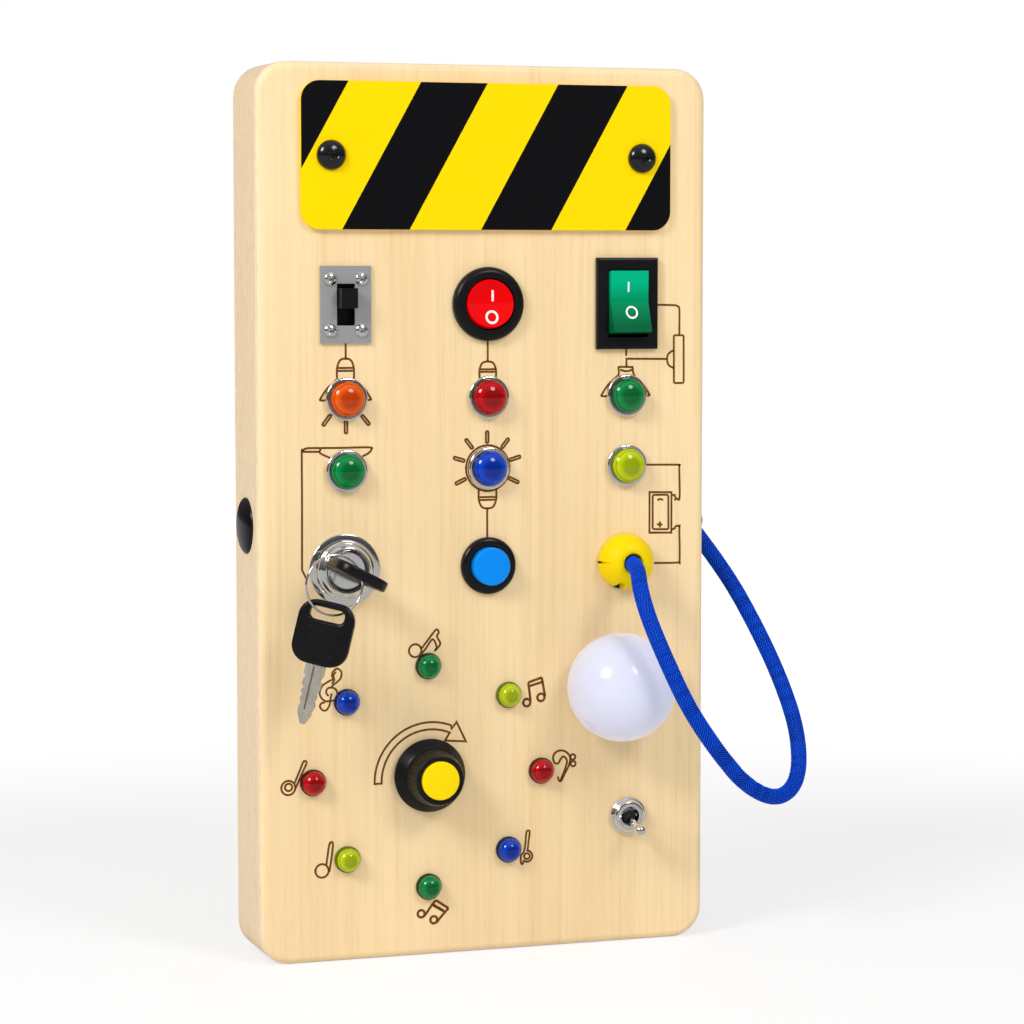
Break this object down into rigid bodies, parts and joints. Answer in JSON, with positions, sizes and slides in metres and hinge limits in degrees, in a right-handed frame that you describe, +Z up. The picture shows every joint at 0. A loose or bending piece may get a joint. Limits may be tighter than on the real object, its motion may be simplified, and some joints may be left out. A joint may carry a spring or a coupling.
{
  "type": "wooden busy board",
  "caption": "Upright plywood busy board with rockers, slide and toggle switches, key lock, push button, rotary selector, corded plug and coloured lamps.",
  "frame": {"origin": "middle of the bottom edge of the board's front face, on the surface it stands on; this is within 2 mm of the middle of the footprint of the whole part without its cord", "axes": "+X to the right as seen from the front, -Y out of the front face towards the child, +Z up along the long side"},
  "size_m": [0.1851, 0.0693, 0.282],
  "materials": {
    "plywood": "satin clear lacquer",
    "stripe_plate": "satin printed",
    "black_screw": "gloss black",
    "zinc_screw": "bright zinc",
    "switch_plate": "brushed",
    "black_plastic": "satin moulded",
    "black_gloss": "gloss moulded",
    "red_plastic": "gloss moulded",
    "green_plastic": "gloss translucent",
    "blue_plastic": "gloss moulded",
    "yellow_plastic": "gloss moulded",
    "chrome": "polished",
    "key_steel": "worn nickel",
    "white_globe": "milky gloss",
    "lamp_white": "gloss",
    "cord_braid": "braided textile",
    "rubber": "satin",
    "orange_lens": "clear gloss",
    "red_lens": "clear gloss",
    "green_lens": "clear gloss",
    "blue_lens": "clear gloss",
    "lime_lens": "clear gloss",
    "battery_skin": "printed wrap, plain",
    "contact": "plated",
    "circuit": "solder resist",
    "nylon": "satin"
  },
  "bodies": {
    "board": {"front_panel": "plywood", "side_frame": "plywood", "back_panel": "plywood", "back_screws": "zinc_screw", "hazard_plate": "stripe_plate", "plate_screws": "black_screw", "slide_switch_plate": "switch_plate", "slide_switch_body": "black_plastic", "slide_switch_screws": "zinc_screw", "red_rocker_housing": "black_plastic", "green_rocker_housing": "black_plastic", "push_button_housing": "black_gloss", "push_button_spring": "zinc_screw", "key_lock_housing": "chrome", "selector_switch": "zinc_screw", "lamp_globe": "white_globe", "lamp_base": "lamp_white", "lamp_diode": "lamp_white", "toggle_ring_nut": "chrome", "toggle_body": "chrome", "plug_socket": "black_gloss", "cord": "cord_braid", "cord_grommet": "rubber", "side_cap": "black_gloss", "indicator_bezels": "chrome", "orange_lens": "orange_lens", "red_lens": "red_lens", "green_lens": "green_lens", "blue_lens": "blue_lens", "lime_lens": "lime_lens", "red_small_lamps": "red_lens", "lime_small_lamps": "lime_lens", "green_small_lamps": "green_lens", "blue_small_lamps": "blue_lens", "panel_nuts": "zinc_screw", "indicator_nuts": "zinc_screw", "battery_holder": "black_plastic", "batteries": "battery_skin", "battery_contacts": "contact", "battery_cover": "black_plastic", "battery_cover_screws": "zinc_screw", "circuit_board": "circuit", "circuit_spacers": "nylon", "circuit_screws": "zinc_screw"},
    "slide_knob": {"slide_switch_knob": "black_plastic"},
    "round_rocker": {"red_rocker": "red_plastic"},
    "square_rocker": {"green_rocker": "green_plastic"},
    "push_cap": {"push_button_cap": "blue_plastic"},
    "lock_core": {"lock_cylinder": "chrome", "inserted_key_head": "black_plastic", "inserted_key_blade": "key_steel"},
    "ring": {"key_ring": "chrome"},
    "spare_key": {"spare_key_head": "black_plastic", "spare_key_blade": "key_steel"},
    "selector": {"selector_knob": "black_plastic", "selector_knob_cap": "yellow_plastic", "selector_shaft": "zinc_screw"},
    "toggle": {"toggle_lever": "chrome"},
    "plug": {"plug_head": "yellow_plastic", "plug_pin": "chrome"}
  },
  "joints": [
    {"name": "slide_switch", "type": "slide", "parent": "board", "child": "slide_knob", "axis": [0, 0, 1], "range_m": [-0.004, 0]},
    {"name": "round_rocker_tilt", "type": "hinge", "parent": "board", "child": "round_rocker", "pos_m": [0.0005, -0.001, 0.207], "axis": [1, 0, 0], "range_deg": [0, 12]},
    {"name": "square_rocker_tilt", "type": "hinge", "parent": "board", "child": "square_rocker", "pos_m": [0.0472, -0.001, 0.207], "axis": [1, 0, 0], "range_deg": [0, 20]},
    {"name": "push_button", "type": "slide", "parent": "board", "child": "push_cap", "axis": [0, 1, 0], "range_m": [0, 0.0027], "stiffness_N_per_m": 400, "deforming": ["push_button_spring"]},
    {"name": "key_turn", "type": "hinge", "parent": "board", "child": "lock_core", "pos_m": [-0.0468, 0, 0.1241], "axis": [0, 1, 0], "range_deg": [0, 90]},
    {"name": "key_ring_swing", "type": "hinge", "parent": "lock_core", "child": "ring", "pos_m": [-0.04721, -0.0202, 0.12428], "axis": [0, 1, 0], "range_deg": [-6, 6]},
    {"name": "spare_key_swing", "type": "hinge", "parent": "ring", "child": "spare_key", "pos_m": [-0.05806, -0.02104, 0.11252], "axis": [0, 1, 0], "range_deg": [-8, 8]},
    {"name": "selector_turn", "type": "hinge", "parent": "board", "child": "selector", "pos_m": [-0.0195, 0, 0.0581], "axis": [0, 1, 0], "range_deg": [0, 315]},
    {"name": "toggle_flip", "type": "hinge", "parent": "board", "child": "toggle", "pos_m": [0.048, 0.0005, 0.0414], "axis": [1, 0, 0], "range_deg": [-28, 0]},
    {"name": "plug_pull", "type": "slide", "parent": "board", "child": "plug", "axis": [0, -1, 0], "range_m": [0, 0.0142], "deforming": ["cord"]}
  ]
}
